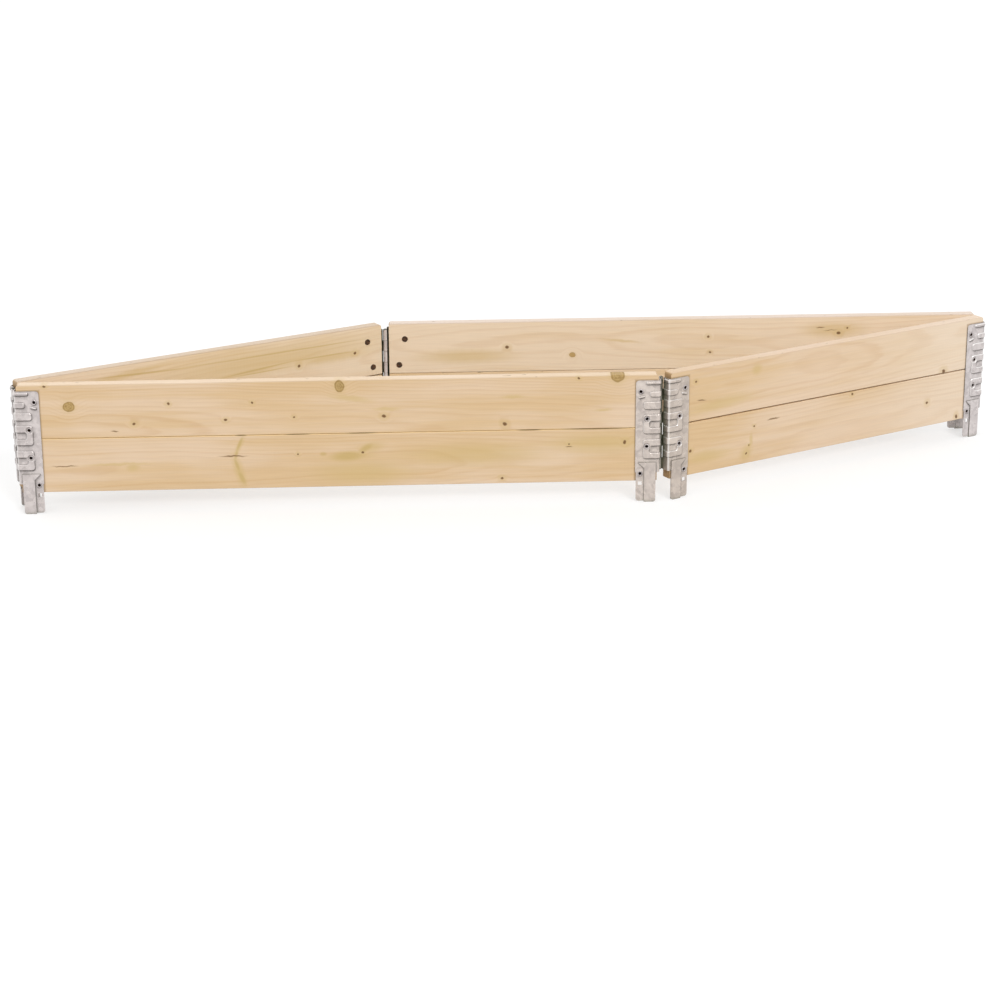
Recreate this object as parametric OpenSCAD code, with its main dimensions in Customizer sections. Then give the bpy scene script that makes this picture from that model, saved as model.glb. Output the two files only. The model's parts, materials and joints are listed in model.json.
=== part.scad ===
// Folding pallet collar: four walls of two planks each, joined at the corners by riveted sheet
// hinges whose pins stand at the inner corners, so that the frame folds flat as a parallelogram.
// X runs along the long walls, Z is up, and the legs of the hinges stand on z = 0 round the origin.

/* [Collar] */
// Length over the outer faces of the planks when the walls are square
collar_length = 1200; // [1000:10:1400]
// Width over the outer faces of the planks when the walls are square
collar_width = 800; // [600:10:1000]
// Height of a wall, from the underside of its lower plank to the top of its upper plank
wall_height = 200; // [190:1:230]
// Turn of the short walls away from the long ones as drawn, 90 when the walls are square
fold_angle = 29; // [10:1:90]

/* [Planks] */
// Thickness of a plank
plank_thickness = 20; // [16:0.5:25]
// Gap between the two planks of a long wall
long_seam = 0.8; // [0.4:0.1:3]
// Gap between the two planks of a short wall
short_seam = 2.4; // [0.4:0.1:3]
// Rounding of the long edges of a plank
edge_round = 1; // [1:0.5:4]
// Rounding of the top corners of a wall, seen from its outer side
corner_round = 6; // [2:0.5:10]
// Gap between the end of a plank and the hinge sheet that is bent round it
end_gap = 3.6; // [1:0.1:6]

/* [Hinge] */
// Thickness of the hinge sheet
sheet = 1.25; // [1:0.05:1.5]
// Outer radius of the bend from the face of a wall to its end
bend_radius = 3.8; // [3.6:0.1:4.5]
// Width of a leaf on the face of its wall
leaf_width = 44.5; // [42:0.5:50]
// Distance from the top of a leaf to the top of the wall
leaf_drop = 11; // [8:0.5:14]
// Clearance between a leaf and the planks that it is riveted to
leaf_seat = 0.15; // [0.05:0.05:0.3]
// Radius of the corner of a leaf at the top
leaf_corner = 6; // [2:0.5:8]
// Inner radius of a knuckle
knuckle_bore = 2.6; // [2:0.1:3]
// Radial clearance of the pin in its knuckles
pin_play = 0.08; // [0.05:0.01:0.1]
// Distance from the inner faces of the planks to the axis of the pin
pin_inset = 1; // [0.5:0.1:3]
// Number of knuckles in a hinge, taken in turn by the leaf of the long wall and that of the short one
knuckle_count = 8; // [4:2:12]
// Gap between one knuckle and the next
knuckle_gap = 0.6; // [0.3:0.1:1]
// Slit left between the end of the rolled sheet and the leaf
roll_slit = 0.5; // [0.3:0.1:1]
// Height of the lowest knuckle over the underside of the planks
knuckle_rise = 16; // [12:1:20]
// Radius of the heads that close the pin
pin_head_radius = 3.6; // [3.2:0.1:3.8]
// Height of the heads that close the pin
pin_head = 1.8; // [1:0.1:2.5]

/* [Legs] */
// Length of a leg below the planks
leg_length = 40; // [30:1:50]
// How far the raised panel of a leg stands out from its leaf
leg_press = 1.6; // [1:0.1:2]
// Height of the top of the raised panel over the underside of the planks
leg_panel_rise = 35; // [30:1:36]
// Distance of the raised panel from the corner edge
leg_inset = 7; // [5:0.5:8]
// Width of the raised panel
leg_panel_width = 21; // [18:0.5:22]
// Reach of the slanted shoulder beside the top of the raised panel
leg_shoulder = 11; // [8:0.5:12]
// Height of the foot of the flat strip beside the raised panel
strip_lift = 2; // [0:0.5:4]
// How far the flat strip ends short of the edge of the leaf
strip_inset = 1.5; // [0.5:0.5:3]
// Radius of the bottom corners of a leg
leg_corner = 5; // [2:0.5:7]
// Width of the tongue that is bent in under the lower plank
tongue_width = 7; // [5:0.5:8]
// Reach of the tongue under the lower plank
tongue_length = 8; // [6:0.5:10]
// Height of the window that the tongue is cut from
window_height = 7; // [6:0.5:8]

/* [Bands] */
// Radius of the round edges of the bands pressed out of a leaf
rim_radius = 2.4; // [1.6:0.1:2.5]
// Depth of the axis of a round edge below the face of the leaf
rim_sink = 0.9; // [0.6:0.1:1]
// How much larger the radius of the edges round the hollow of a forked band is
hollow_ease = 0.2; // [0.1:0.05:0.4]
// Radius of the turn at the far end of a band, along the axis of its edge
band_turn = 3; // [2:0.1:3.2]
// Reach of the long bands from the corner edge
band_reach = 28.5; // [28:0.5:30]
// Reach of the short band at the top from the corner edge
top_band_reach = 17.5; // [14:0.5:20]
// Reach of the strip along the top of a leaf from the corner edge
top_strip_reach = 24; // [18:0.5:28]
// Radius of the turn round the hollow between the arms of a forked band
hollow_turn = 6; // [4:0.5:7]
// Reach of the hollow between the arms of a forked band
hollow_reach = 21.5; // [18:0.5:22]
// Distance from the axis of the pin to the ends of the bands on the bent side of a leaf
band_stop = 8; // [7:0.5:12]

/* [Rivets] */
// Radius of a rivet's shank
shank_radius = 3.5; // [3.4:0.1:3.8]
// Radius of the hole down the middle of a rivet
rivet_bore = 2.8; // [2.2:0.1:2.8]
// Depth of the hole down the middle of a rivet
rivet_bore_depth = 12; // [6:1:14]
// Radius of the head on the inner side
head_radius = 5.5; // [5:0.1:6]
// Thickness of the head on the inner side
head_thickness = 1.5; // [1:0.1:1.8]
// Height of the rolled lip on the outer side
lip_height = 0.95; // [0.8:0.05:1.1]
// Clearance round a shank in the leaf and in the planks
shank_play = 0.12; // [0.05:0.01:0.3]
// Clearance round a rolled lip in its seat in a band
lip_play = 0.4; // [0.2:0.1:0.8]
// Clearance round a head in its recess
head_play = 0.5; // [0.2:0.1:1]
// Depth of the recess for a head in the inner face of a plank
recess = 2; // [1.8:0.1:3]
// Distance of the two middle rivets from the corner edge
middle_rivet_reach = 24; // [22:0.5:25]
// Distance of the top and bottom rivets from the corner edge
outer_rivet_reach = 35.5; // [34:0.5:37]
// Distance of the top rivet below the top of the leaf, and of the next one below that
rivet_from_top = [20.5, 72]; // [18:0.5:75]
// Height of the bottom rivet over the underside of the planks, and of the next one
rivet_from_bottom = [14, 65.2]; // [12:0.1:68]

/* [Hidden] */
$fn = 48;

WALL = ["front", "right", "back", "left"];
CORNER = ["left", "front", "right", "back"];

// Distance between the pins of a long wall and of a short one
long_span = collar_length - 2 * (plank_thickness + pin_inset);
short_span = collar_width - 2 * (plank_thickness + pin_inset);

// Pins in the order of CORNER, with the origin midway between opposite corners
long_side = [long_span, 0];
short_side = short_span * [cos(fold_angle), sin(fold_angle)];
PIN = [
    (-long_side - short_side) / 2,
    (long_side - short_side) / 2,
    (long_side + short_side) / 2,
    (-long_side + short_side) / 2
];
HEADING = [0, fold_angle, 180, 180 + fold_angle];

// Heights, from the tips of the legs
wall_foot = leg_length;
wall_top = leg_length + wall_height;
leaf_top = wall_top - leaf_drop;
knuckle_foot = wall_foot + knuckle_rise;
knuckle_pitch = (leaf_top - knuckle_foot) / knuckle_count;
panel_top = wall_foot + leg_panel_rise;

// Distances from the axis of a pin, along the wall and outwards from it
knuckle_radius = knuckle_bore + sheet;
corner_edge = knuckle_bore;
plank_end = corner_edge + sheet + end_gap;
leaf_edge = corner_edge + leaf_width;
strip_edge = leaf_edge - strip_inset;
panel_edge = corner_edge + leg_inset + leg_panel_width;
plank_outer = pin_inset + plank_thickness;
leaf_inner = plank_outer + leaf_seat;
leaf_outer = leaf_inner + sheet;
bend_middle = leaf_outer - bend_radius;
rim_axis = leaf_outer - rim_sink;
band_rise = rim_radius - rim_sink;

// The sheet on a wall's end stops short of the knuckles of the other leaf
knuckle_clearance = 0.7;
return_stop = knuckle_radius + knuckle_clearance;

// Rivets as distances along the wall from the pin and heights
RIVET = [
    [corner_edge + outer_rivet_reach, leaf_top - rivet_from_top[0]],
    [corner_edge + middle_rivet_reach, leaf_top - rivet_from_top[1]],
    [corner_edge + middle_rivet_reach, wall_foot + rivet_from_bottom[1]],
    [corner_edge + outer_rivet_reach, wall_foot + rivet_from_bottom[0]]
];

// Bands as heights of the axes of their upper and lower edge, reach from the corner edge and turn
top_strip = leaf_top - 4;
top_strip_height = 2;
top_strip_turn = 0.9;
top_band = leaf_top - 22.5;
top_band_height = 6.5;
single_band = leaf_top - 41.5;
single_band_height = 10.5;
BAND = [
    [top_strip, top_strip - top_strip_height, top_strip_reach, top_strip_turn],
    [top_band, top_band - top_band_height, top_band_reach, band_turn],
    [single_band, single_band - single_band_height, band_reach, band_turn]
];

// Forked bands, and the hollow between the arms of one
upper_fork = leaf_top - 65.5;
lower_fork = wall_foot + 76.5;
fork_height = 32.5;
upper_arm = 8.5;
hollow_height = 17;
FORK = [for (top = [upper_fork, lower_fork]) [top, top - fork_height, band_reach, band_turn]];
function hollow(fork) =
    let (top = fork[0] - upper_arm) [top, top - hollow_height, hollow_reach, hollow_turn];

// Slanted dimple under the top rivet of a leaf
dimple_drop = 30;
dimple_reach = 30;
dimple_length = 8;
dimple_slant = 15;

// Margin by which a cut runs past the faces that it opens
past = 1;

function is_long(wall) = wall % 2 == 0;
function span(wall) = is_long(wall) ? long_span : short_span;
function seam(wall) = is_long(wall) ? long_seam : short_seam;
// Wall of a corner's long leaf, and of its short one: one starts at the corner and one ends there
function long_wall(corner) = is_long(corner) ? corner : (corner + 3) % 4;
function short_wall(corner) = is_long(corner) ? (corner + 3) % 4 : corner;

// A wall starts at the pin of its own index, with its outer face towards -Y before it is turned
module at_wall(wall) {
    translate(PIN[wall]) rotate(HEADING[wall]) children();
}

// The end of a wall at a corner, with x measured from the pin into the wall
module at_hinge(corner, wall) {
    at_wall(wall)
        if (wall == corner) children();
        else translate([span(wall), 0, 0]) mirror([1, 0, 0]) children();
}

// An outline over x and height, thickened outwards from a distance off the pin
module pressed(from, to) {
    translate([0, -from, 0]) rotate([90, 0, 0]) linear_extrude(to - from) children();
}

module rounded_rectangle(size, r) {
    translate([r, 0]) square([size.x - 2 * r, size.y]);
    translate([0, r]) square([size.x, size.y - 2 * r]);
    for (x = [r, size.x - r], y = [r, size.y - r]) translate([x, y]) circle(r);
}

// What rounding takes off a square corner at the origin that points to +x and +y
module corner_waste(r) {
    difference() {
        translate([-r, -r]) square(r + past);
        translate([-r, -r]) circle(r);
    }
}

// Holes and recesses of the rivets that fall between two heights
module rivet_holes(from, to) {
    for (rivet = RIVET)
        if (rivet.y > from && rivet.y < to)
            translate([rivet.x, 0, rivet.y]) rotate([90, 0, 0]) {
                cylinder(h = plank_outer + past, r = shank_radius + shank_play);
                cylinder(h = pin_inset + recess, r = head_radius + head_play);
            }
}

module plank(wall, from, to) {
    length = span(wall) - 2 * plank_end;
    color("burlywood") at_wall(wall) difference() {
        translate([plank_end, -plank_outer, from]) rotate([90, 0, 90])
            linear_extrude(length) rounded_rectangle([plank_thickness, to - from], edge_round);
        rivet_holes(from, to);
        translate([span(wall), 0, 0]) mirror([1, 0, 0]) rivet_holes(from, to);
        if (to == wall_top)
            for (end = [0, 1])
                translate([end ? span(wall) - plank_end : plank_end, 0, wall_top]) mirror([1 - end, 0, 0])
                    pressed(pin_inset - past, plank_outer + past) corner_waste(corner_round);
    }
}

module lower_plank(wall) {
    plank(wall, wall_foot, wall_foot + (wall_height - seam(wall)) / 2);
}

module upper_plank(wall) {
    plank(wall, wall_foot + (wall_height + seam(wall)) / 2, wall_top);
}

// Section of everything on the inner side of a leaf's face and bent end, moved inwards by an inset
module leaf_core(inset) {
    r = bend_radius - inset;
    x = corner_edge + inset;
    y = -leaf_outer + inset;
    translate([x + r, y]) square([leaf_width, leaf_outer]);
    translate([x, y + r]) square([leaf_width + r, leaf_outer - r]);
    translate([x + r, y + r]) circle(r);
}

// Section of the sheet: the face, the bend and the return along the end of the planks
module leaf_section() {
    intersection() {
        difference() {
            leaf_core(0);
            leaf_core(sheet);
        }
        translate([0, -leaf_outer - past]) square([leaf_edge, leaf_outer + past - return_stop]);
    }
}

// Section of a knuckle, rolled from the sheet on the end of the planks
module knuckle_section() {
    difference() {
        union() {
            circle(knuckle_radius);
            translate([knuckle_bore, -return_stop - sheet]) square([sheet, return_stop + sheet]);
        }
        circle(knuckle_bore);
        translate([knuckle_bore - roll_slit, -knuckle_radius - past])
            square([roll_slit, knuckle_radius + past]);
    }
}

module knuckles(first) {
    for (i = [first : 2 : knuckle_count - 1])
        translate([0, 0, leaf_top - (i + 1) * knuckle_pitch + knuckle_gap / 2])
            linear_extrude(knuckle_pitch - knuckle_gap) knuckle_section();
}

// Outline of the flat part below the knuckles, down to the foot of the strip
module strip_outline() {
    left = corner_edge + leg_inset;
    difference() {
        translate([left, strip_lift]) square([strip_edge - left, knuckle_foot - strip_lift + sheet]);
        translate([strip_edge, strip_lift]) mirror([0, 1]) corner_waste(leg_corner);
    }
}

// Outline of the raised panel of a leg, moved inwards by an inset everywhere but at the tip
module panel_outline(inset) {
    left = corner_edge + leg_inset + inset;
    right = panel_edge - inset;
    top = panel_top - inset;
    slant = inset * tan(22.5);
    difference() {
        polygon([
            [left, inset ? -past : 0],
            [right, inset ? -past : 0],
            [right, panel_top - leg_shoulder + slant],
            [right + leg_shoulder - inset - slant, top],
            [left, top]
        ]);
        if (!inset) translate([left, 0]) mirror([1, 0]) mirror([0, 1]) corner_waste(leg_corner);
    }
}

// Section of a band over the distance outwards and the height, with round edges at the heights given
// It reaches half way into the sheet, and one without an edge at its foot starts square there
module band_section(height, edges) {
    foot = min(edges) > 0 ? 0 : -rim_radius;
    intersection() {
        union() {
            square([rim_radius, height]);
            for (edge = edges) translate([0, edge]) circle(rim_radius);
        }
        translate([rim_sink - sheet / 2, foot]) square([rim_radius, height + rim_radius - foot]);
    }
}

// Section of the hollow between the arms of a forked band, with round edges at the heights given
module hollow_section(height, edges) {
    difference() {
        square([rim_radius + past, height]);
        for (edge = edges) translate([0, edge]) circle(rim_radius + hollow_ease);
    }
}

// Section of a band, or of the hollow in one
module section(height, edges, is_hollow) {
    if (is_hollow) hollow_section(height, edges);
    else band_section(height, edges);
}

// A band, or the hollow in one: along the face from its turned far end, over the bend and down the return
module run(band, is_hollow) {
    lower = band[1];
    height = band[0] - lower;
    r = band[3];
    start = corner_edge + bend_radius;
    turn = corner_edge + band[2] - r;
    edges = [0, height];
    return_length = bend_middle - band_stop + (is_hollow ? past : 0);
    translate([turn, -rim_axis, lower]) {
        rotate(-90) rotate([90, 0, 0]) linear_extrude(turn - start) section(height, edges, is_hollow);
        translate([0, 0, r]) rotate(-90) linear_extrude(height - 2 * r) section(r, [r], is_hollow);
        for (top = [0, 1])
            translate([0, 0, top ? height - r : r]) rotate([90, 0, 0]) rotate(top ? 0 : -90)
                rotate_extrude(angle = 90) mirror([1, -1]) section(r, [r], is_hollow);
    }
    translate([start, -bend_middle, lower]) rotate(180) {
        rotate_extrude(angle = 90) translate([bend_radius - rim_sink, 0]) section(height, edges, is_hollow);
        translate([bend_radius - rim_sink, 0, 0]) rotate([90, 0, 0])
            linear_extrude(return_length) section(height, edges, is_hollow);
    }
}

// A short round dimple that slants down under the top rivet
module dimple() {
    difference() {
        translate([corner_edge + dimple_reach, -rim_axis, leaf_top - dimple_drop])
            rotate([0, 90 + dimple_slant, 0]) {
                cylinder(h = dimple_length, r = rim_radius);
                for (end = [0, dimple_length]) translate([0, 0, end]) sphere(rim_radius);
            }
        linear_extrude(wall_top) leaf_core(sheet / 2);
    }
}

// A sloped seat that brings a band down to the flat face of the leaf round a rivet
module rivet_seat(rivet) {
    r = rivet_bore + 2 * lip_height + lip_play;
    rise = band_rise + past;
    translate([rivet.x, -leaf_inner, rivet.y]) rotate([90, 0, 0]) {
        cylinder(h = sheet, r = r);
        translate([0, 0, sheet]) cylinder(h = rise, r1 = r, r2 = r + rise);
    }
}

module bands() {
    difference() {
        union() {
            for (band = BAND) run(band, false);
            for (fork = FORK)
                difference() {
                    run(fork, false);
                    run(hollow(fork), true);
                }
            dimple();
        }
        for (rivet = RIVET) rivet_seat(rivet);
    }
}

// The tongue is cut from the strip and bent in under the lower plank
module tongue() {
    translate([corner_edge + outer_rivet_reach - tongue_width / 2, -leaf_outer, wall_foot - leaf_seat])
        translate([0, 0, -sheet]) cube([tongue_width, sheet + tongue_length, sheet]);
}

module tongue_window() {
    translate([corner_edge + outer_rivet_reach, 0])
        translate([-tongue_width / 2, wall_foot - leaf_seat - sheet - window_height])
            square([tongue_width, window_height]);
}

// One leaf with the knuckles that it takes, counted from the top
module leaf(first) {
    difference() {
        union() {
            difference() {
                union() {
                    translate([0, 0, knuckle_foot]) linear_extrude(leaf_top - knuckle_foot) leaf_section();
                    pressed(leaf_inner, leaf_outer) strip_outline();
                    pressed(leaf_inner, leaf_outer + leg_press) panel_outline(0);
                    bands();
                }
                pressed(leaf_inner - past, leaf_inner + leg_press) panel_outline(sheet);
                pressed(leaf_inner - past, leaf_outer + past)
                    translate([leaf_edge, leaf_top]) corner_waste(leaf_corner);
                pressed(leaf_inner - past, leaf_outer + past) tongue_window();
            }
            knuckles(first);
            tongue();
        }
        for (rivet = RIVET)
            translate([rivet.x, 0, rivet.y]) rotate([90, 0, 0])
                cylinder(h = leaf_outer + leg_press + past, r = shank_radius + shank_play);
    }
}

module long_leaf(corner) {
    color("lightsteelblue") at_hinge(corner, long_wall(corner)) leaf(0);
}

module short_leaf(corner) {
    color("lightsteelblue") at_hinge(corner, short_wall(corner)) leaf(1);
}

// The pin stands in its knuckles and is closed by a domed head at each end
module hinge_pin(corner) {
    dome = (pin_head_radius * pin_head_radius + pin_head * pin_head) / (2 * pin_head);
    low = knuckle_foot;
    color("dimgray") translate(PIN[corner]) {
        translate([0, 0, low]) cylinder(h = leaf_top - low, r = knuckle_bore - pin_play);
        for (top = [0, 1])
            translate([0, 0, top ? leaf_top : low]) mirror([0, 0, 1 - top]) intersection() {
                cylinder(h = pin_head, r = pin_head_radius);
                translate([0, 0, pin_head - dome]) sphere(dome);
            }
    }
}

// A hollow rivet: a flat head in the recess of the plank, a shank and a lip rolled over the leaf
module rivet() {
    floor = pin_inset + recess;
    lip_middle = rivet_bore + lip_height;
    rotate([90, 0, 0]) difference() {
        union() {
            translate([0, 0, floor - head_thickness]) cylinder(h = head_thickness, r = head_radius);
            translate([0, 0, floor - head_thickness])
                cylinder(h = leaf_outer - floor + head_thickness, r = shank_radius);
            translate([0, 0, leaf_outer]) rotate_extrude() intersection() {
                translate([lip_middle, 0]) circle(lip_height);
                translate([rivet_bore, 0]) square([2 * lip_height, lip_height]);
            }
        }
        translate([0, 0, leaf_outer - rivet_bore_depth])
            cylinder(h = rivet_bore_depth + lip_height + past, r = rivet_bore);
    }
}

module rivets(corner, wall) {
    color("saddlebrown") at_hinge(corner, wall)
        for (place = RIVET) translate([place.x, 0, place.y]) rivet();
}

for (wall = [0 : 3]) {
    lower_plank(wall);
    upper_plank(wall);
}
for (corner = [0 : 3]) {
    long_leaf(corner);
    short_leaf(corner);
    hinge_pin(corner);
    rivets(corner, long_wall(corner));
    rivets(corner, short_wall(corner));
}
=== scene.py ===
"""Looks of a folding wooden pallet collar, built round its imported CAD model. Metres and degrees."""
import json
import math

import bpy
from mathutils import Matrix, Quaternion, Vector


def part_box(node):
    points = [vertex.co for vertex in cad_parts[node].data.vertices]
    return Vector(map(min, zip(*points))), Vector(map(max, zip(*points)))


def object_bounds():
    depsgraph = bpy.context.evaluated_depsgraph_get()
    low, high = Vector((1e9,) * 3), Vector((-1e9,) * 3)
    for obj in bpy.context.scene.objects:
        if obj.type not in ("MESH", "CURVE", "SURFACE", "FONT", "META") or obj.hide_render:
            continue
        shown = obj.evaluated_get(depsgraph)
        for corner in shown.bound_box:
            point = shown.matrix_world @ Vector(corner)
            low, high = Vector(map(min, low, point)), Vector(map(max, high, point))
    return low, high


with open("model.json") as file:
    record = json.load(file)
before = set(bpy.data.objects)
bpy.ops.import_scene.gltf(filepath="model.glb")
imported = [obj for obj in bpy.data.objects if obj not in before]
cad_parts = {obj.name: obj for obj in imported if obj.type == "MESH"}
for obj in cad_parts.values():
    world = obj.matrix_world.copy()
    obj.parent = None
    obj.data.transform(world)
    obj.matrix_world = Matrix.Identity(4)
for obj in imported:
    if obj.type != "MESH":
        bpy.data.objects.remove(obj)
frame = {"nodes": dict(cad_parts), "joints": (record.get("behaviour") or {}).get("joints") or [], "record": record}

cad_low, cad_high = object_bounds()

MM = 0.001
NOISE_CENTRE = (0.5, 0.5, 0.5)

# Camera, at the photograph's angle
CAMERA_PLACE = Vector((-0.2448, -4.4866, 1.4571))
CAMERA_AIM = Vector((-0.0360, -0.0171, -0.0555))
CAMERA_ROLL = -0.287
CAMERA_LENS = 89.71
SENSOR = 36.0

camera_data = bpy.data.cameras.new("camera")
camera_data.lens = CAMERA_LENS
camera_data.sensor_width = SENSOR
camera = bpy.data.objects.new("camera", camera_data)
camera.rotation_mode = "QUATERNION"
camera.location = CAMERA_PLACE
camera.rotation_quaternion = (
    (CAMERA_AIM - CAMERA_PLACE).to_track_quat("-Z", "Y")
    @ Quaternion((0, 0, 1), math.radians(CAMERA_ROLL))
)
bpy.context.scene.collection.objects.link(camera)
bpy.context.scene.camera = camera
bpy.context.scene.view_settings.view_transform = "Standard"

# Walls, each from the pin at its start to the pin at its end
PIN = {joint["name"].split("_")[0]: Vector(joint["pos_m"][:2]) for joint in frame["joints"]}
PIN["back"] = PIN["left"] + PIN["right"] - PIN["front"]
WALL_PINS = {
    "front": ("left", "front"),
    "right": ("front", "right"),
    "back": ("right", "back"),
    "left": ("back", "left"),
}


def wall_direction(wall):
    start, end = WALL_PINS[wall]
    return (PIN[end] - PIN[start]).normalized()


def wall_length(wall):
    start, end = WALL_PINS[wall]
    return (PIN[end] - PIN[start]).length


def wall_place(graph, coordinates, wall):
    """The place in a wall's own directions: along the wall from its start pin, inwards, and up."""
    direction = wall_direction(wall)
    start = PIN[WALL_PINS[wall][0]]
    return graph.node(
        "Mapping",
        {
            "Vector": coordinates.outputs["Object"],
            "Location": (start.x, start.y, 0),
            "Rotation": (0, 0, math.atan2(direction.y, direction.x)),
        },
        vector_type="TEXTURE",
    ).outputs[0]


def srgb(red, green, blue):
    """A colour given in screen values from 0 to 255, as the linear colour that shaders take."""
    linear = []
    for value in (red, green, blue):
        part = value / 255
        linear.append(part / 12.92 if part <= 0.04045 else ((part + 0.055) / 1.055) ** 2.4)
    return (*linear, 1.0)


class Graph:
    """A material's nodes, made by short calls that take numbers, colours or nodes' outputs."""

    def __init__(self, name):
        self.material = bpy.data.materials.new(name)
        self.material.use_nodes = True
        self.tree = self.material.node_tree
        self.tree.nodes.clear()
        self.output = self.tree.nodes.new("ShaderNodeOutputMaterial")

    def put(self, socket, value):
        if isinstance(value, bpy.types.NodeSocket):
            self.tree.links.new(value, socket)
        else:
            socket.default_value = value

    def node(self, kind, inputs=(), **settings):
        made = self.tree.nodes.new("ShaderNode" + kind)
        for key, value in settings.items():
            setattr(made, key, value)
        for key, value in dict(inputs).items():
            self.put(made.inputs[key], value)
        return made

    def math(self, operation, first, second=0.0):
        return self.node("Math", {0: first, 1: second}, operation=operation).outputs[0]

    def vector(self, operation, first, second=(0.0, 0.0, 0.0)):
        return self.node("VectorMath", {0: first, 1: second}, operation=operation).outputs[0]

    def span(self, vector):
        return self.node("VectorMath", {0: vector}, operation="LENGTH").outputs["Value"]

    def dot(self, first, second):
        made = self.node("VectorMath", {0: first, 1: second}, operation="DOT_PRODUCT")
        return made.outputs["Value"]

    def fade(self, value, begin, end, low=0.0, high=1.0):
        """Runs smoothly from low to high as the value runs from begin to end."""
        inputs = {"Value": value, "From Min": begin, "From Max": end, "To Min": low, "To Max": high}
        return self.node("MapRange", inputs, interpolation_type="SMOOTHSTEP").outputs[0]

    def noise(self, vector, scale, detail=2.0, roughness=0.5):
        inputs = {"Vector": vector, "Scale": scale, "Detail": detail, "Roughness": roughness}
        return self.node("TexNoise", inputs)

    def mix(self, share, first, second, blend="MIX"):
        made = self.node("Mix", data_type="RGBA", blend_type=blend)
        self.put(made.inputs[0], share)
        self.put(made.inputs[6], first)
        self.put(made.inputs[7], second)
        return made.outputs[2]

    def stretched(self, vector, scale):
        return self.vector("MULTIPLY", vector, scale)

    def wander(self, vector, scale, reach):
        """A vector that wanders about zero, by up to half the reach on each axis."""
        colour = self.noise(vector, scale).outputs["Color"]
        return self.stretched(self.vector("SUBTRACT", colour, NOISE_CENTRE), reach)

    def openness(self, reach, samples, **inputs):
        """1 in the open, falling to 0 in hollows that are narrow beside the reach."""
        made = self.node("AmbientOcclusion", {"Distance": reach, **inputs}, samples=samples)
        return made.outputs["AO"]

    def bump(self, strength, depth, height):
        inputs = {"Strength": strength, "Distance": depth, "Height": height}
        return self.node("Bump", inputs).outputs[0]

    def finish(self, **inputs):
        """The surface shader, with its inputs by name, underscores for spaces."""
        named = {key.replace("_", " "): value for key, value in inputs.items()}
        shader = self.node("BsdfPrincipled", named)
        self.tree.links.new(shader.outputs[0], self.output.inputs["Surface"])
        return self.material


# Wood: growth rings round a pith outside the plank, with knots, checks, stains and streaks
# Spots, in mm: along from the start pin, up from the floor, half length, half height, tilt in degrees
PALE_WOOD = srgb(229, 203, 174)
WARM_WOOD = srgb(220, 189, 147)
LATE_WOOD = srgb(222, 196, 158)
BLEACHED_AND_TOP_LIT_WOOD = srgb(236, 217, 194)
SEAM_LIT_WOOD = srgb(240, 208, 150)
END_WOOD = srgb(176, 140, 98)
OLIVE_STAIN = srgb(207, 179, 121)
KNOT_HEART = srgb(190, 160, 105)
KNOT_RIM = srgb(150, 118, 68)
PIN_KNOT = srgb(108, 74, 40)
CHECK_AND_SHADE_DARK = srgb(126, 95, 58)
STREAK_BROWN = srgb(192, 164, 98)
THROUGH = 1e6

KNOTS = {
    "front_upper_plank": [(99, 199, 10, 9, 0), (580, 228, 9, 11, 10), (1078, 240, 12, 14, 0)],
    "back_upper_plank": [(795, 171, 6, 5, 0)],
    "back_lower_plank": [(330, 95, 11, 10, 0), (910, 62, 9, 8, 0)],
    "left_lower_plank": [(240, 88, 10, 9, 0), (610, 115, 8, 8, 0)],
}
PIN_KNOTS = {
    "front_upper_plank": [
        (213, 165, 3.6, 3.2, 0), (275, 201, 2.8, 2.6, 0), (376, 169, 3, 2.6, 0),
        (424, 200, 2.6, 2.4, 0), (498, 172, 2.4, 2.2, 0), (658, 171, 4, 3.6, 0),
        (875, 152, 4.4, 3.8, -35), (1008, 235, 2.8, 2, 0), (58, 237, 3, 2, 0),
    ],
    "front_lower_plank": [
        (503, 103, 2, 2, 0), (619, 104, 3, 2.4, 0), (870, 50, 3.4, 3, 0), (991, 112, 1.8, 1.8, 0),
        (1092, 114, 3, 4, 0),
    ],
    "right_upper_plank": [(63, 215, 2.6, 2.2, 0), (655, 145, 4.6, 4.6, 0)],
    "right_lower_plank": [
        (617, 87, 3.4, 3.4, 0), (694, 47, 3, 5, 0), (53, 85, 3.2, 3, 0), (429, 134, 2.6, 3, 0),
        (198, 109, 2.2, 2, 0), (181, 58, 3, 2.4, 40), (187, 74, 1.8, 1.6, 0),
    ],
    "back_upper_plank": [
        (922, 189, 4, 3.4, 0), (274, 206, 4.4, 3.6, 0), (258, 216, 2.6, 2, 0),
        (530, 203, 3, 2.6, 0), (526, 172, 2.6, 2.2, 0), (120, 185, 3, 2.8, 0),
    ],
    "back_lower_plank": [
        (180, 70, 3, 2.6, 0), (560, 118, 3.4, 3, 0), (720, 76, 2.6, 2.4, 0), (1040, 110, 3, 3, 0),
    ],
    "left_upper_plank": [(66, 191, 3.8, 3.4, 0), (187, 184, 3.6, 3.2, 0), (600, 168, 3, 2.6, 0)],
    "left_lower_plank": [(130, 112, 3, 2.6, 0), (380, 72, 2.6, 2.4, 0), (520, 98, 3.2, 3, 0)],
}
CHECKS = {
    "front_upper_plank": [(178, 152, 9, 1.4, 0)],
    "front_lower_plank": [(86, 88, 28, 1.3, 0), (386, 101, 30, 2.0, 1), (991, 107, 8, 1.2, 0)],
    "right_upper_plank": [(77, 178, 12, 1.3, -8)],
    "right_lower_plank": [(242, 116, 17, 2.1, 4)],
    "back_upper_plank": [(311, 217, 10, 1.6, 0), (291, 212, 16, 1, -4)],
    "back_lower_plank": [(460, 58, 24, 1.2, 0)],
    "left_lower_plank": [(450, 120, 18, 1.2, 0)],
}
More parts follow.
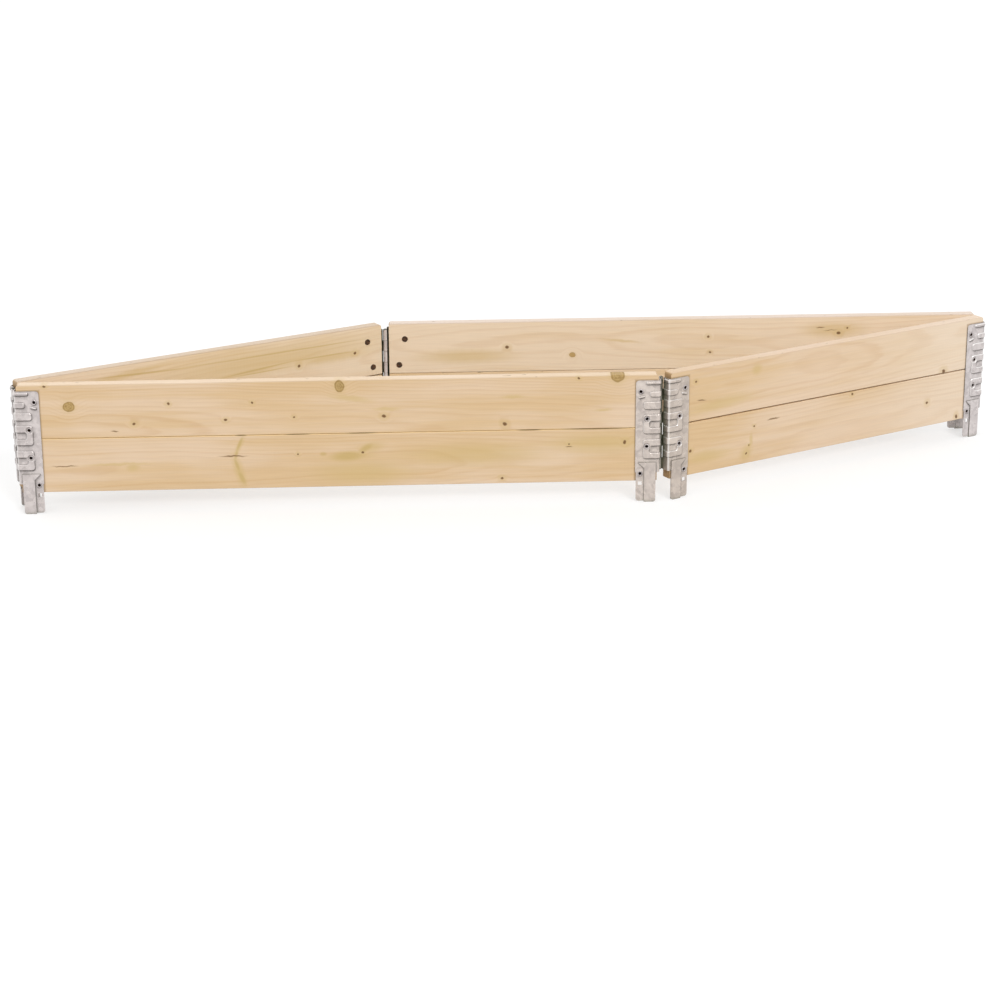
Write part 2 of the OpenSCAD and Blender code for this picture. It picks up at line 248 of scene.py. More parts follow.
STAINS = {
    "front_upper_plank": [
        (663, 184, 24, 4, 0), (890, 203, 20, 4, 0), (1053, 175, 16, 3, 4), (600, 205, 40, 6, -8),
    ],
    "front_lower_plank": [
        (397, 118, 22, 5, 63), (397, 72, 34, 9, -74), (596, 97, 46, 10, 2),
        (634, 113, 24, 10, 10), (620, 66, 90, 26, 0), (207, 84, 12, 8, 0), (820, 96, 130, 22, 0),
        (1040, 112, 90, 20, 0), (180, 90, 60, 3, 0),
    ],
    "right_upper_plank": [(201, 218, 11, 11, 0), (120, 165, 70, 12, 4)],
    "right_lower_plank": [(181, 60, 16, 13, 40), (192, 83, 4, 14, 0), (90, 70, 50, 12, 0)],
    "back_upper_plank": [(285, 213, 60, 15, 0), (1000, 172, 90, 14, 0), (700, 198, 40, 3, 6)],
    "back_lower_plank": [(330, 95, 60, 14, 0), (800, 100, 110, 14, 0)],
    "left_upper_plank": [
        (560, 218, 120, 7, -6), (280, 190, 120, 9, -4), (120, 190, 90, 10, 0),
        (250, 205, 230, 26, 0),
    ],
    "left_lower_plank": [(300, 80, 100, 16, 0)],
}
STREAKS = {
    "front_lower_plank": [
        (399, 124, 15, 3, 66), (392, 103, 10, 3, 76), (393, 84, 14, 3.4, -72),
        (401, 60, 15, 4.5, -66), (591, 97, 30, 10, 2), (625, 112, 15, 6, 30), (548, 102, 7, 4, 0),
    ],
    "right_lower_plank": [(188, 74, 4, 3, 40)],
    "left_upper_plank": [
        (510, 218, 110, 1.8, 2), (220, 216, 210, 1.7, 0), (272, 190, 85, 1.8, -4),
        (130, 195, 80, 1.7, 0), (264, 184, 70, 1.5, -1),
    ],
}
# Pith of the log that each plank is sawn from: outwards from the pins and up from the floor, in mm
PITH = {
    "front_upper_plank": (-95, 150),
    "front_lower_plank": (-60, 86),
    "right_upper_plank": (-120, 214),
    "right_lower_plank": (-110, 60),
    "back_upper_plank": (85, 192),
    "back_lower_plank": (-70, 92),
    "left_upper_plank": (120, 168),
    "left_lower_plank": (-90, 120),
}
# Share of the warmer, yellower wood at the start, the middle and the end of each plank
WARMTH = {
    "front_upper_plank": (0.43, 0.90, 0.50),
    "front_lower_plank": (0.44, 0.60, 0.67),
    "right_upper_plank": (0.72, 0.34, 0.02),
    "right_lower_plank": (0.95, 0.34, 0.02),
    "back_upper_plank": (0.00, 0.05, 0.05),
    "back_lower_plank": (0.40, 0.40, 0.40),
    "left_upper_plank": (0.28, 0.28, 0.00),
    "left_lower_plank": (0.60, 0.60, 0.60),
}
# Share of bleached wood at the end of a plank
BLEACH = {"right_upper_plank": 0.80, "right_lower_plank": 0.60}
# Painted light: tone of the back and left planks, paler than the front wall's so that their inner faces, which get
# less light, look as bright: red, green and blue
INNER_LIGHT_TONE = {
    "back_upper_plank": (1.04, 1.11, 1.16),
    "back_lower_plank": (1.04, 1.08, 1.10),
    "left_upper_plank": (1.03, 1.10, 1.14),
    "left_lower_plank": (1.02, 1.06, 1.06),
}
PLAIN_TONE = (1.0, 1.0, 1.0)
# Planer marks, growth rings, and how far the rings and the spots' outlines wander
PLANER_PITCH = 6.5 * MM
RING_WIDTH = 3.2 * MM
GRAIN_SWAY = 28 * MM
GRAIN_RIPPLE = 3 * MM
GRAIN_TAPER = 0.012
SPOT_WOBBLE = 5 * MM
# Noises of the wood, in waves per metre along the plank, inwards and up, or on all three
SWAY_SCALE = (1.6, 5.0, 5.0)
RIPPLE_SCALE = (9.0, 60.0, 60.0)
FIBRE_SCALE = (18.0, 700.0, 700.0)
BAND_SCALE = (2.2, 55.0, 55.0)
CLOUD_SCALE = (3.0, 9.0, 9.0)
CHIP_SCALE = (55.0, 190.0, 190.0)
SPOT_WOBBLE_SCALE = 75.0
MOTTLE_SCALE = 260.0
YEAR_SCALE = 120.0
# How far the noise of one plank is from that of the next
OWN_SHIFT = (3.7, 1.3, 0.0)
# Fades, each with the values where it begins and ends, and what it gives there if not 0 and 1
KNOT_PUSH = (4.0, 0.6, 0.0, 6 * MM)
PIN_KNOT_PUSH = (5.0, 0.6, 0.0, 2.1 * MM)
LATE_RISE = (0.40, 0.80)
LATE_FALL = (1.0, 0.84)
YEAR_FADE = (0.3, 0.7, 0.25, 1.0)
CLOUD_WARMTH = (0.3, 0.7, -0.35, 0.35)
BAND_WARMTH = (0.3, 0.7, -0.25, 0.25)
BLEACH_RANGE = (0.5, 0.95)
FIBRE_TONE = (0.25, 0.75, 0.955, 1.02)
STAIN_FADE = (1.5, 0.2, 0.0, 0.58)
STREAK_FADE = (1.3, 0.3, 0.0, 0.54)
HALO_FADE = (1.9, 0.9, 0.0, 0.30)
KNOT_FADE = (1.08, 0.94)
KNOT_RIM_FADE = (0.78, 0.97, 0.0, 0.55)
KNOT_RING_FADE = (-1.0, 1.0, 0.0, 0.35)
MOTTLE_FADE = (0.48, 0.66, 0.0, 0.6)
PIN_KNOT_FADE = (1.15, 0.55, 0.0, 0.92)
CHECK_FADE = (1.1, 0.3, 0.0, 0.85)
SEAM_GAP_FADE = (1.0, 0.5, 0.0, 0.6)
NICK_FADE = (0.69, 0.77)
END_FADE = (0.55, 0.9, 0.0, 0.8)
CHECK_RELIEF = (1.2, 0.4, 0.0, 1.6)
KNOT_RELIEF = (1.15, 0.8, 0.0, 0.5)
FIBRE_GLOSS = (0.2, 0.8, 0.56, 0.70)
# Shares of the late wood and the nicks in the colour, and of all in the relief and the gloss
LATE_SHARE = 0.22
NICK_SHARE = 0.7
FIBRE_RELIEF = 0.7
LATE_RELIEF = 0.35
PLANER_RELIEF = 0.06
NICK_RELIEF = 2.0
LATE_GLOSS = -0.06
WOOD_BUMP = 0.35
WOOD_DEPTH = 0.4 * MM
WOOD_SPECULAR = 0.35
# Rings in a knot, and the size of a pin knot's halo beside a knot's
KNOT_RINGS = 17.0
PIN_KNOT_HALO = 0.55
# Edges: where they begin and are full, below the top, and the share of pale wood painted as light on the top face
EDGE_REACH = 3.0 * MM
EDGE_FULL = 0.3 * EDGE_REACH
TOP_LIGHT_SHARE = 0.40
# Painted shade on each wall's top face, greyest on the left wall: red, green and blue
TOP_SHADE_TONE = {
    "front": (0.99, 1.01, 1.06, 1.0),
    "right": (0.91, 0.89, 0.90, 1.0),
    "back": (0.88, 0.90, 1.01, 1.0),
    "left": (0.77, 0.75, 0.76, 1.0),
}
# Shade on the outer face beside and over a leaf, whose edge is so far from the pin and the top
LEAF_EDGE = 47.1 * MM
LEAF_DROP = 11 * MM
LEAF_SHADE = 3.5 * MM
LEAF_SHADE_SHARE = 0.5
OUTER_FACE = -19.5 * MM
FACE_DEPTH = 2 * MM
# Share of painted light along the seam of a wall, on the planks' rounded edges beside the gap, and how far it
# reaches
SEAM_PAINTED_LIGHT = {"front": 0.7}
SEAM_REACH = 2.2 * MM
# Dark stretches of a wall's seam, given as spots
SEAM_GAPS = {
    "front": [
        (402, 140, 14, 1.9, 0), (504, 140, 30, 1.7, 0), (616, 140, 36, 1.7, 0),
        (919, 140, 28, 2.2, 0), (1040, 140, 74, 2.2, 0),
    ],
}


def nearest(graph, place, spots):
    """How far the place is from the nearest spot, where 1 is on the spot's outline."""
    found = 100.0
    for along, up, half_length, half_height, tilt in spots:
        mapped = graph.node(
            "Mapping",
            {
                "Vector": place,
                "Location": (along * MM, 0, up * MM),
                "Rotation": (0, -math.radians(tilt), 0),
                "Scale": (half_length * MM, THROUGH, half_height * MM),
            },
            vector_type="TEXTURE",
        ).outputs[0]
        found = graph.math("MINIMUM", found, graph.span(mapped))
    return found


def wood(node, number):
    """The wood of one plank, in its wall's own directions: along the wall, inwards, and up."""
    graph = Graph(node + "_wood")
    wall = node.split("_")[0]
    direction = wall_direction(wall)
    length = wall_length(wall)
    wall_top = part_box(wall + "_upper_plank")[1].z
    low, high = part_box(node)
    coordinates = graph.node("TexCoord")
    place = wall_place(graph, coordinates, wall)
    along, inwards, height = graph.node("SeparateXYZ", {0: place}).outputs[:3]
    own = graph.vector("ADD", place, tuple(number * shift for shift in OWN_SHIFT))

    # Spots with uneven outlines
    wobble = graph.wander(own, SPOT_WOBBLE_SCALE, (SPOT_WOBBLE,) * 3)
    wobbled = graph.vector("ADD", place, wobble)
    knot, pin_knot, check, stain = (
        nearest(graph, wobbled, spots.get(node, [])) for spots in (KNOTS, PIN_KNOTS, CHECKS, STAINS)
    )

    # Growth rings, swaying along the plank and pushed aside by the knots
    sway = graph.wander(graph.stretched(own, SWAY_SCALE), 1.0, (0, GRAIN_SWAY, GRAIN_SWAY))
    ripple = graph.wander(graph.stretched(own, RIPPLE_SCALE), 1.0, (0, GRAIN_RIPPLE, GRAIN_RIPPLE))
    pith_out, pith_up = PITH[node]
    offset = graph.vector("SUBTRACT", place, (0, -pith_out * MM, pith_up * MM))
    offset = graph.vector("ADD", graph.vector("ADD", offset, sway), ripple)
    radius = graph.span(graph.stretched(offset, (0, 1, 1)))
    radius = graph.math("ADD", radius, graph.math("MULTIPLY", along, GRAIN_TAPER))
    radius = graph.math("ADD", radius, graph.fade(knot, *KNOT_PUSH))
    radius = graph.math("ADD", radius, graph.fade(pin_knot, *PIN_KNOT_PUSH))
    phase = graph.math("FRACT", graph.math("DIVIDE", radius, RING_WIDTH))
    late = graph.math("MULTIPLY", graph.fade(phase, *LATE_RISE), graph.fade(phase, *LATE_FALL))
    ring = graph.node("CombineXYZ", {0: graph.math("MULTIPLY", radius, YEAR_SCALE), 1: number})
    year = graph.noise(ring.outputs[0], 1.0, 1.0).outputs[0]
    late = graph.math("MULTIPLY", late, graph.fade(year, *YEAR_FADE))

    # Fibres and the slow change of colour along the plank
    fibre = graph.noise(graph.stretched(own, FIBRE_SCALE), 1.0, 3.0, 0.6).outputs[0]
    band = graph.noise(graph.stretched(own, BAND_SCALE), 1.0, 3.0, 0.55).outputs[0]
    cloud = graph.noise(graph.stretched(own, CLOUD_SCALE), 1.0, 3.0).outputs[0]
    share = graph.math("DIVIDE", along, length)
    first, middle, last = WARMTH[node]
    warmth = graph.math(
        "ADD",
        graph.fade(share, 0.0, 0.5, first, middle),
        graph.fade(share, 0.5, 1.0, 0.0, last - middle),
    )
    warmth = graph.math("ADD", graph.fade(cloud, *CLOUD_WARMTH), warmth)
    warmth = graph.math("ADD", warmth, graph.fade(band, *BAND_WARMTH))
    colour = graph.mix(graph.fade(warmth, 0.0, 1.0), PALE_WOOD, WARM_WOOD)
    bleached = graph.fade(share, *BLEACH_RANGE, 0.0, BLEACH.get(node, 0.0))
    colour = graph.mix(bleached, colour, BLEACHED_AND_TOP_LIT_WOOD)
    colour = graph.mix(graph.math("MULTIPLY", late, LATE_SHARE), colour, LATE_WOOD, "MULTIPLY")
    fibre_shade = graph.fade(fibre, *FIBRE_TONE)
    # Painted light: the back and left planks made paler for their less lit inner faces
    channels = [graph.math("MULTIPLY", fibre_shade, tone) for tone in INNER_LIGHT_TONE.get(node, PLAIN_TONE)]
    shade = graph.node("CombineColor", dict(enumerate(channels))).outputs[0]
    colour = graph.mix(1.0, colour, shade, "MULTIPLY")

    # Painted light and shade on the top face, then stains, streaks, knots and checks
    if node.endswith("upper_plank"):
        on_top = graph.fade(height, high.z - EDGE_REACH, high.z - EDGE_FULL)
        colour = graph.mix(graph.math("MULTIPLY", on_top, TOP_LIGHT_SHARE), colour, BLEACHED_AND_TOP_LIT_WOOD)
        colour = graph.mix(on_top, colour, TOP_SHADE_TONE[wall], "MULTIPLY")
    colour = graph.mix(graph.fade(stain, *STAIN_FADE), colour, OLIVE_STAIN)
    streak = nearest(graph, graph.vector("ADD", place, ripple), STREAKS.get(node, []))
    colour = graph.mix(graph.fade(streak, *STREAK_FADE), colour, STREAK_BROWN)
    halo = graph.math("MINIMUM", knot, graph.math("MULTIPLY", pin_knot, PIN_KNOT_HALO))
    colour = graph.mix(graph.fade(halo, *HALO_FADE), colour, OLIVE_STAIN)
    knot_ring = graph.math("SINE", graph.math("MULTIPLY", knot, KNOT_RINGS))
    heart = graph.mix(graph.fade(knot_ring, *KNOT_RING_FADE), KNOT_HEART, KNOT_RIM)
    mottle = graph.noise(own, MOTTLE_SCALE).outputs[0]
    heart = graph.mix(graph.fade(mottle, *MOTTLE_FADE), heart, KNOT_RIM)
    heart = graph.mix(graph.fade(knot, *KNOT_RIM_FADE), heart, KNOT_RIM)
    colour = graph.mix(graph.fade(knot, *KNOT_FADE), colour, heart)
    colour = graph.mix(graph.fade(pin_knot, *PIN_KNOT_FADE), colour, PIN_KNOT)
    colour = graph.mix(graph.fade(check, *CHECK_FADE), colour, CHECK_AND_SHADE_DARK)

    # Painted shade beside the leaves, painted light along a seam and its dark stretches, small nicks in the edges,
    # and brown sawn ends
    beside = graph.math("MINIMUM", along, graph.math("SUBTRACT", length, along))
    clear = graph.math(
        "MAXIMUM",
        graph.math("SUBTRACT", beside, LEAF_EDGE),
        graph.math("SUBTRACT", height, wall_top - LEAF_DROP),
    )
    shaded = graph.math(
        "MULTIPLY",
        graph.fade(inwards, OUTER_FACE + FACE_DEPTH, OUTER_FACE),
        graph.fade(clear, LEAF_SHADE, 0.0, 0.0, LEAF_SHADE_SHARE),
    )
    # Painted shade beside the leaves, in the dark colour of the checks
    colour = graph.mix(shaded, colour, CHECK_AND_SHADE_DARK)
    seam = high.z if node.endswith("lower_plank") else low.z
    from_seam = graph.math("ABSOLUTE", graph.math("SUBTRACT", height, seam))
    seam_light = graph.fade(from_seam, SEAM_REACH, 0.0, 0.0, SEAM_PAINTED_LIGHT.get(wall, 0.0))
    colour = graph.mix(seam_light, colour, SEAM_LIT_WOOD)
    gap = nearest(graph, place, SEAM_GAPS.get(wall, []))
    colour = graph.mix(graph.fade(gap, *SEAM_GAP_FADE), colour, CHECK_AND_SHADE_DARK)
    edge = graph.math(
        "MINIMUM", graph.math("SUBTRACT", height, low.z), graph.math("SUBTRACT", high.z, height)
    )
    near_edge = graph.fade(edge, EDGE_REACH, EDGE_FULL)
    chip = graph.noise(graph.stretched(own, CHIP_SCALE), 1.0).outputs[0]
    nick = graph.math("MULTIPLY", graph.fade(chip, *NICK_FADE), near_edge)
    colour = graph.mix(graph.math("MULTIPLY", nick, NICK_SHARE), colour, CHECK_AND_SHADE_DARK)
    facing = graph.dot(coordinates.outputs["Normal"], (direction.x, direction.y, 0))
    end = graph.fade(graph.math("ABSOLUTE", facing), *END_FADE)
    colour = graph.mix(end, colour, graph.mix(late, END_WOOD, KNOT_RIM))

    # Relief and gloss
    chatter = graph.math("SINE", graph.math("MULTIPLY", along, 2 * math.pi / PLANER_PITCH))
    relief = graph.math(
        "ADD",
        graph.math("MULTIPLY", fibre, FIBRE_RELIEF),
        graph.math("MULTIPLY", late, LATE_RELIEF),
    )
    relief = graph.math("ADD", relief, graph.math("MULTIPLY", chatter, PLANER_RELIEF))
    relief = graph.math("SUBTRACT", relief, graph.fade(check, *CHECK_RELIEF))
    relief = graph.math("SUBTRACT", relief, graph.math("MULTIPLY", nick, NICK_RELIEF))
    relief = graph.math("ADD", relief, graph.fade(knot, *KNOT_RELIEF))
    late_gloss = graph.math("MULTIPLY", late, LATE_GLOSS)
    return graph.finish(
        Base_Color=colour,
        Roughness=graph.math("ADD", graph.fade(fibre, *FIBRE_GLOSS), late_gloss),
        Normal=graph.bump(WOOD_BUMP, WOOD_DEPTH, relief),
        Specular_IOR_Level=WOOD_SPECULAR,
    )


# Hot-dipped zinc sheet with its spangle and pale oxide, painted shade in its creases and under its bands, and
# painted highlights on its bends
ZINC = srgb(212, 204, 202)
ZINC_DARK = srgb(158, 151, 151)
ZINC_OXIDE = srgb(230, 223, 221)
ZINC_HIGHLIGHT = srgb(243, 240, 238)
CREASE_SHADE = srgb(74, 68, 64)
HINGE_SHADE = srgb(126, 131, 106)
# Tone of the brighter and the warmer leaves beside the others': red, green and blue
LEAF_TONE = {
    "left_hinge_long_leaf": (1.05, 1.04, 1.03, 1.0),
    "front_hinge_long_leaf": (1.0, 0.96, 0.89, 1.0),
    "front_hinge_short_leaf": (0.93, 0.88, 0.79, 1.0),
}
PLAIN_LEAF = (1.0, 1.0, 1.0, 1.0)
# How far the side facing the light leans left and up, so that painted shade stays right of and under the bands
LIGHT_LEAN_LEFT = 0.5
LIGHT_LEAN_UP = 1.5
# Middle rivets with less painted shade round them, in mm: along from the nearest pin, up from the floor
MIDDLE_RIVETS = ((26.6, 157.0), (26.6, 105.2))
UNSHADED_REACH = 9 * MM
# Top of the leg panel, whose creases get less painted shade than those of the bands
PANEL_TOP = 77.5 * MM
PANEL_BLEND = 2 * MM
PANEL_SHADE = 0.62
# Share of painted highlight on the bends that face up
GLINT = {"right_hinge_short_leaf": 0.9, "front_hinge_short_leaf": 0.4}
PLAIN_GLINT = 0.15
# Openness towards the light at which the painted shade in a crease begins, and is full
SHADE_BEGIN = {"left_hinge_long_leaf": 0.82}
PLAIN_SHADE_BEGIN = 0.72
SHADE_FULL = 0.46
# How far round a place its openness is looked at, and how finely: hollows, sides towards the light, recesses
HOLLOW_REACH = 4 * MM
LIGHT_SIDE_REACH = 9 * MM
RECESS_REACH = 18 * MM
HOLLOW_SAMPLES = 4
LIGHT_SIDE_SAMPLES = 12
RECESS_SAMPLES = 4
# Noises of the sheet, in waves per metre, and how far the noise of one leaf is from the next
WARP_SCALE = 160.0
SPANGLE_SCALE = 150.0
OXIDE_SCALE = 38.0
FINE_SCALE = 900.0
SPANGLE_WARP = 3 * MM
SHEET_SHIFT = 0.37
# Fades, given as those of the wood
UNSHADED_FADE = (0.8 * UNSHADED_REACH, UNSHADED_REACH, 0.2, 1.0)
OXIDE_FADE = (0.45, 0.75, 0.0, 0.6)
HOLLOW_FADE = (0.96, 0.55, 0.0, 0.55)
BEND_RISE = (0.20, 0.60, 0.0, 0.50)
BEND_FALL = (0.98, 0.80)
GLINT_RISE = (0.15, 0.50)
GLINT_FALL = (0.98, 0.85)
RECESS_SHADE_FADE = (0.60, 0.22, 0.0, 0.75)
SPANGLE_GLOSS = (0.0, 1.0, 0.26, 0.40)
OXIDE_GLOSS = (0.4, 0.8, 0.0, 0.12)
SPANGLE_SHARE = 0.5
ZINC_METALLIC = 0.45
SHEET_BUMP = 0.15
SHEET_DEPTH = 0.15 * MM


def zinc(node, number, wall):
    """The zinc of one leaf, with painted shade and painted highlights on its bends by their place on the wall."""
    graph = Graph(node + "_zinc")
    coordinates = graph.node("TexCoord")
    normal = coordinates.outputs["Normal"]
    direction = wall_direction(wall)

    # Share of painted shade, small on the leg panel and round the middle rivets
    wall_axes = graph.node("SeparateXYZ", {0: wall_place(graph, coordinates, wall)})
    along, _, height = wall_axes.outputs[:3]
    beside = graph.math("MINIMUM", along, graph.math("SUBTRACT", wall_length(wall), along))
    shade_amount = graph.fade(height, PANEL_TOP, PANEL_TOP + PANEL_BLEND, PANEL_SHADE, 1.0)
    for rivet_along, rivet_up in MIDDLE_RIVETS:
        sideways = graph.math("SUBTRACT", beside, rivet_along * MM)
        upwards = graph.math("SUBTRACT", height, rivet_up * MM)
        from_rivet = graph.node("CombineXYZ", {0: sideways, 1: upwards}).outputs[0]
        unshaded = graph.fade(graph.span(from_rivet), *UNSHADED_FADE)
        shade_amount = graph.math("MULTIPLY", shade_amount, unshaded)

    # Spangle and oxide
    place = graph.vector("ADD", coordinates.outputs["Object"], (number * SHEET_SHIFT, 0, 0))
    warp = graph.noise(place, WARP_SCALE).outputs["Color"]
    warped = graph.vector("ADD", place, graph.stretched(warp, (SPANGLE_WARP,) * 3))
    cells = graph.node("TexVoronoi", {"Vector": warped, "Scale": SPANGLE_SCALE})
    spangle = graph.node("SeparateColor", {0: cells.outputs["Color"]}).outputs[0]
    cloud = graph.noise(place, OXIDE_SCALE, 4.0, 0.6).outputs[0]
    colour = graph.mix(graph.math("MULTIPLY", spangle, SPANGLE_SHARE), ZINC, ZINC_DARK)
    colour = graph.mix(graph.fade(cloud, *OXIDE_FADE), colour, ZINC_OXIDE)
    colour = graph.mix(1.0, colour, LEAF_TONE.get(node, PLAIN_LEAF), "MULTIPLY")

    # Painted shade in hollows and on the sides of the bands turned from the light
    hollow = graph.openness(HOLLOW_REACH, HOLLOW_SAMPLES)
    hollow_shade = graph.math("MULTIPLY", graph.fade(hollow, *HOLLOW_FADE), shade_amount)
    colour = graph.mix(hollow_shade, colour, CREASE_SHADE)
    lean = (-direction.x * LIGHT_LEAN_LEFT, -direction.y * LIGHT_LEAN_LEFT, LIGHT_LEAN_UP)
    towards_light = graph.vector("NORMALIZE", graph.vector("ADD", normal, lean))
    towards_light = graph.node(
        "VectorTransform",
        {0: towards_light},
        vector_type="VECTOR",
        convert_from="OBJECT",
        convert_to="WORLD",
    ).outputs[0]
    light_openness = graph.openness(LIGHT_SIDE_REACH, LIGHT_SIDE_SAMPLES, Normal=towards_light)
    shade_begin = SHADE_BEGIN.get(node, PLAIN_SHADE_BEGIN)
    under_band_shade = graph.math("MULTIPLY", graph.fade(light_openness, shade_begin, SHADE_FULL), shade_amount)
    colour = graph.mix(under_band_shade, colour, CREASE_SHADE)

    # Painted highlights on the bends that face left and up, and painted shade deep between the knuckles
    leftward = graph.dot(normal, (-direction.x, -direction.y, 0))
    rise, fall = graph.fade(leftward, *BEND_RISE), graph.fade(leftward, *BEND_FALL)
    colour = graph.mix(graph.math("MULTIPLY", rise, fall), colour, ZINC_HIGHLIGHT)
    # Painted highlight on the bends that face up
    upward = graph.node("SeparateXYZ", {0: normal}).outputs[2]
    rise = graph.fade(upward, *GLINT_RISE, 0.0, GLINT.get(node, PLAIN_GLINT))
    fall = graph.fade(upward, *GLINT_FALL)
    colour = graph.mix(graph.math("MULTIPLY", rise, fall), colour, ZINC_HIGHLIGHT)
    # Painted shade: darker and greener deep in the hinge recesses, where shade falls
    recess = graph.openness(RECESS_REACH, RECESS_SAMPLES)
    colour = graph.mix(graph.fade(recess, *RECESS_SHADE_FADE), colour, HINGE_SHADE)

    # Relief and gloss
    fine = graph.noise(place, FINE_SCALE).outputs[0]
    spangle_gloss = graph.fade(spangle, *SPANGLE_GLOSS)
    oxide_gloss = graph.fade(cloud, *OXIDE_GLOSS)
    return graph.finish(
        Base_Color=colour,
        Metallic=ZINC_METALLIC,
        Roughness=graph.math("ADD", spangle_gloss, oxide_gloss),
        Normal=graph.bump(SHEET_BUMP, SHEET_DEPTH, fine),
    )


# Dull pin steel and dark oxidised rivets
PIN_STEEL = srgb(140, 140, 130)
PIN_GREASE = srgb(64, 62, 52)
PIN_PATCHES = 160.0
PIN_GRIT = 1280.0
PIN_METALLIC = 0.7
PIN_GLOSS = (0.3, 0.7, 0.35, 0.6)
RIVET_DARK = srgb(52, 44, 38)
RIVET_RUST = srgb(98, 66, 42)
RIVET_PATCHES = 220.0
RIVET_GRIT = 1600.0
RIVET_METALLIC = 0.45
RIVET_GLOSS = (0.3, 0.7, 0.4, 0.65)
PATCH_FADE = (0.35, 0.65)
STEEL_BUMP = 0.25
STEEL_DEPTH = 0.15 * MM
# How far out from the pins the bright lip of a rivet ends, and how deep it is
LIP_REACH = 22.6 * MM
LIP_DEPTH = 0.3 * MM


def pin_steel():
    """Greasy steel that all the pins share."""
    graph = Graph("pin_steel_worn")
    place = graph.node("TexCoord").outputs["Object"]
    patch = graph.noise(place, PIN_PATCHES, 4.0, 0.6).outputs[0]
    grit = graph.noise(place, PIN_GRIT).outputs[0]
    return graph.finish(
        Base_Color=graph.mix(graph.fade(patch, *PATCH_FADE), PIN_STEEL, PIN_GREASE),
        Metallic=PIN_METALLIC,
        Roughness=graph.fade(grit, *PIN_GLOSS),
        Normal=graph.bump(STEEL_BUMP, STEEL_DEPTH, grit),
    )


def rivet_steel(wall):
    """Steel that is bright on the lip rolled outside the leaf, and dark in the hole and inside."""
    graph = Graph(wall + "_rivet_steel")
    coordinates = graph.node("TexCoord")
    place = coordinates.outputs["Object"]
    inwards = graph.node("SeparateXYZ", {0: wall_place(graph, coordinates, wall)}).outputs[1]
    patch = graph.noise(place, RIVET_PATCHES, 4.0, 0.6).outputs[0]
    patch = graph.fade(patch, *PATCH_FADE)
    grit = graph.noise(place, RIVET_GRIT).outputs[0]
    dark = graph.mix(patch, RIVET_DARK, RIVET_RUST)
    bright = graph.mix(patch, ZINC, ZINC_DARK)
    lip = graph.fade(inwards, LIP_DEPTH - LIP_REACH, -LIP_REACH)
    return graph.finish(
        Base_Color=graph.mix(lip, dark, bright),
        Metallic=RIVET_METALLIC,
        Roughness=graph.fade(grit, *RIVET_GLOSS),
        Normal=graph.bump(STEEL_BUMP, STEEL_DEPTH, grit),
    )


# A material for every node, by its kind and its wall
PIN_MATERIAL = pin_steel()
RIVET_MATERIAL = {wall: rivet_steel(wall) for wall in WALL_PINS}
BODIES = frame["record"]["behaviour"]["bodies"]
WALL_OF_NODE = {node: body.split("_")[0] for body, nodes in BODIES.items() for node in nodes}
for number, (node, shown) in enumerate(sorted(frame["nodes"].items())):
    if node.endswith("plank"):
        made = wood(node, number)
    elif node.endswith("leaf"):
        made = zinc(node, number, WALL_OF_NODE[node])
    elif node.endswith("pin"):
        made = PIN_MATERIAL
    else:
        made = RIVET_MATERIAL[WALL_OF_NODE[node]]
    shown.material_slots[0].material = made

# Pale floor that shows white to the camera and keeps the shadow
FLOOR_HALF = 14.0
FLOOR_CORNERS = ((-1, -1), (1, -1), (1, 1), (-1, 1))
FLOOR_COLOUR = (0.45, 0.45, 0.45, 1.0)
FLOOR_LIFT = 0.56

floor_mesh = bpy.data.meshes.new("floor")
corners = [(x * FLOOR_HALF, y * FLOOR_HALF, cad_low.z) for x, y in FLOOR_CORNERS]
floor_mesh.from_pydata(corners, [], [(0, 1, 2, 3)])
floor = bpy.data.objects.new("floor", floor_mesh)
bpy.context.scene.collection.objects.link(floor)


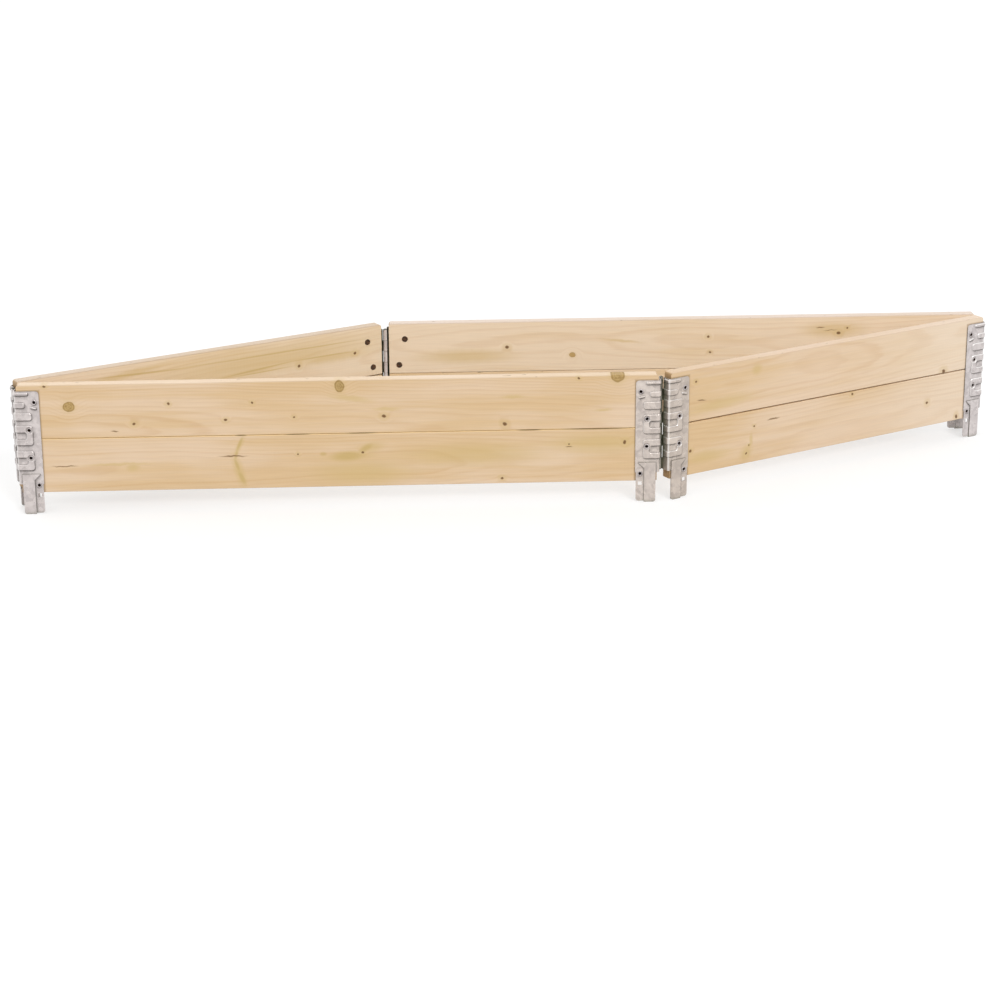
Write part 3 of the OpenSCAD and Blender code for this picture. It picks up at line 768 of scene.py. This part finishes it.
def seen_rays(nodes, links):
    """1 on rays from the camera, on reflections and through glass, else 0."""
    path = nodes.new("ShaderNodeLightPath")
    total = path.outputs["Is Camera Ray"]
    for name in ("Is Glossy Ray", "Is Transmission Ray"):
        larger = nodes.new("ShaderNodeMath")
        larger.operation = "MAXIMUM"
        links.new(total, larger.inputs[0])
        links.new(path.outputs[name], larger.inputs[1])
        total = larger.outputs[0]
    return total


floor_graph = Graph("floor_pale")
pale = floor_graph.node("BsdfDiffuse", {"Color": FLOOR_COLOUR}).outputs[0]
seen = seen_rays(floor_graph.tree.nodes, floor_graph.tree.links)
lifted = floor_graph.math("MULTIPLY", seen, FLOOR_LIFT)
lift = floor_graph.node("Emission", {"Strength": lifted}).outputs[0]
both = floor_graph.node("AddShader", {0: pale, 1: lift}).outputs[0]
floor_graph.tree.links.new(both, floor_graph.output.inputs["Surface"])
floor_mesh.materials.append(floor_graph.material)

# Soft studio light: an even white room and three wide lamps
ROOM_LIGHT = 0.81
# Each lamp's power, width in degrees and direction
LAMPS = {
    "key": (1.25, 16.0, (0.42, -0.95, 0.62)),
    "fill": (0.30, 60.0, (-0.60, -0.70, 0.80)),
    "rear": (0.55, 50.0, (-0.30, 0.85, 0.45)),
}

world = bpy.data.worlds.new("room")
world.use_nodes = True
bpy.context.scene.world = world
room = world.node_tree
room.nodes.clear()
seen = seen_rays(room.nodes, room.links)
strength = room.nodes.new("ShaderNodeMapRange")
room.links.new(seen, strength.inputs["Value"])
strength.inputs["To Min"].default_value = ROOM_LIGHT
strength.inputs["To Max"].default_value = 1.0
sky = room.nodes.new("ShaderNodeBackground")
sky.inputs["Color"].default_value = (1, 1, 1, 1)
room.links.new(strength.outputs[0], sky.inputs["Strength"])
room_output = room.nodes.new("ShaderNodeOutputWorld")
room.links.new(sky.outputs[0], room_output.inputs["Surface"])

for name, (power, width, towards) in LAMPS.items():
    lamp_data = bpy.data.lights.new(name, "SUN")
    lamp_data.energy = power
    lamp_data.angle = math.radians(width)
    lamp = bpy.data.objects.new(name, lamp_data)
    lamp.rotation_mode = "QUATERNION"
    lamp.rotation_quaternion = Vector(towards).to_track_quat("Z", "Y")
    bpy.context.scene.collection.objects.link(lamp)
